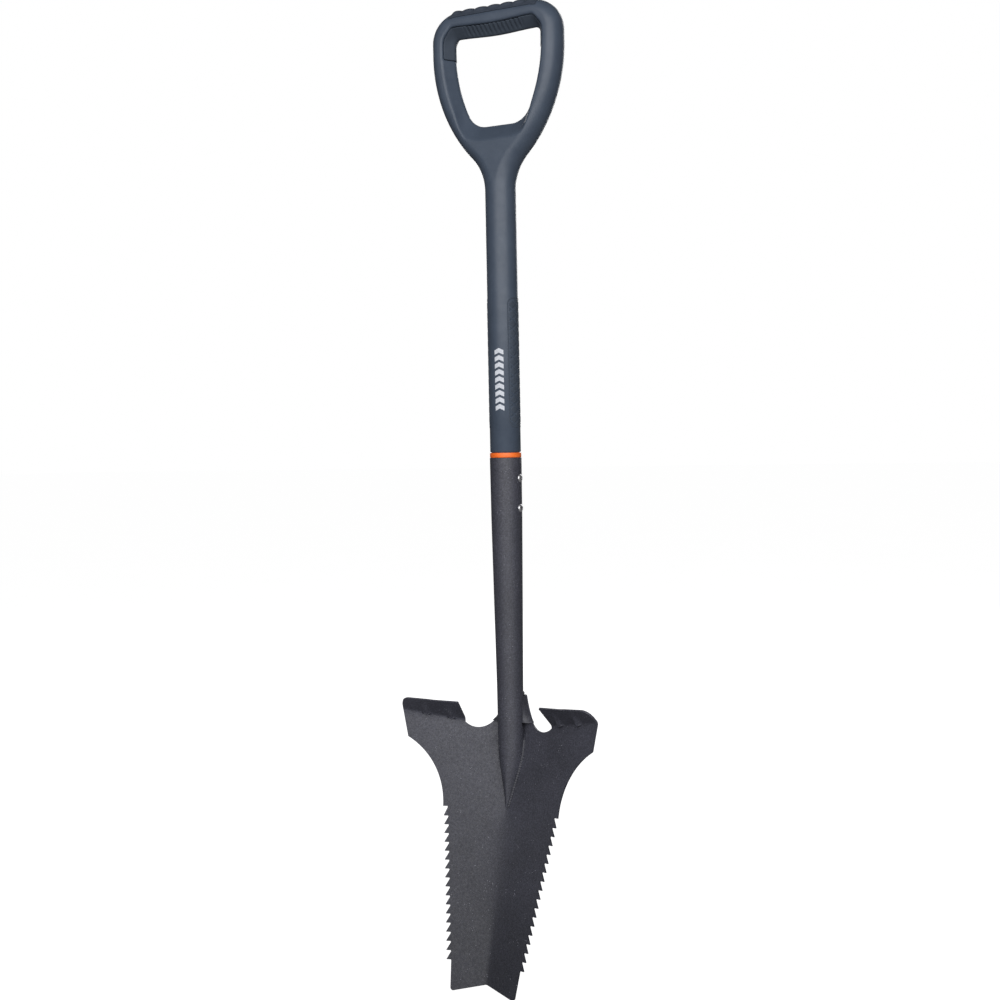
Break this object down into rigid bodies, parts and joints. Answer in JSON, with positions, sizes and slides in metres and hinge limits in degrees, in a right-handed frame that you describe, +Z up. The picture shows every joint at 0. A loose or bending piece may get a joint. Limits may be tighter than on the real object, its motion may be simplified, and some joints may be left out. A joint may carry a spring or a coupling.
{
  "type": "detecting shovel",
  "caption": "Detecting shovel with a D grip, a straight composite and steel shaft, and a narrow V-section steel blade with folded foot treads and saw-toothed edges.",
  "frame": {"origin": "on the shaft's axis, at the middle of the plain stretch of composite shaft between the grip and the textured side panels", "axes": "+Z up the shaft towards the D grip, -Y towards the hollow front of the blade, X across the blade; the shovel is its own mirror image in X but for the rivets"},
  "size_m": [0.2182, 0.087, 0.9692],
  "materials": {
    "handle_plastic": "fine-grained matt blue-grey glass-filled moulding",
    "soft_grip": "matt soft overmould",
    "trim_orange": "satin orange",
    "coated_steel": "rough textured powder coat",
    "weld_metal": "powder-coated weld bead",
    "rivet_steel": "dull zinc plated"
  },
  "bodies": {
    "root": {"handle_body": "handle_plastic", "grip_liner": "soft_grip", "grip_cap": "soft_grip", "side_panel_right": "soft_grip", "side_panel_left": "soft_grip", "trim_ring": "trim_orange", "shaft_tube": "coated_steel", "blade": "coated_steel", "rivet_sleeves": "rivet_steel", "rivet_mandrels": "rivet_steel", "weld_right": "weld_metal", "weld_left": "weld_metal", "weld_rear": "weld_metal"}
  },
  "joints": []
}
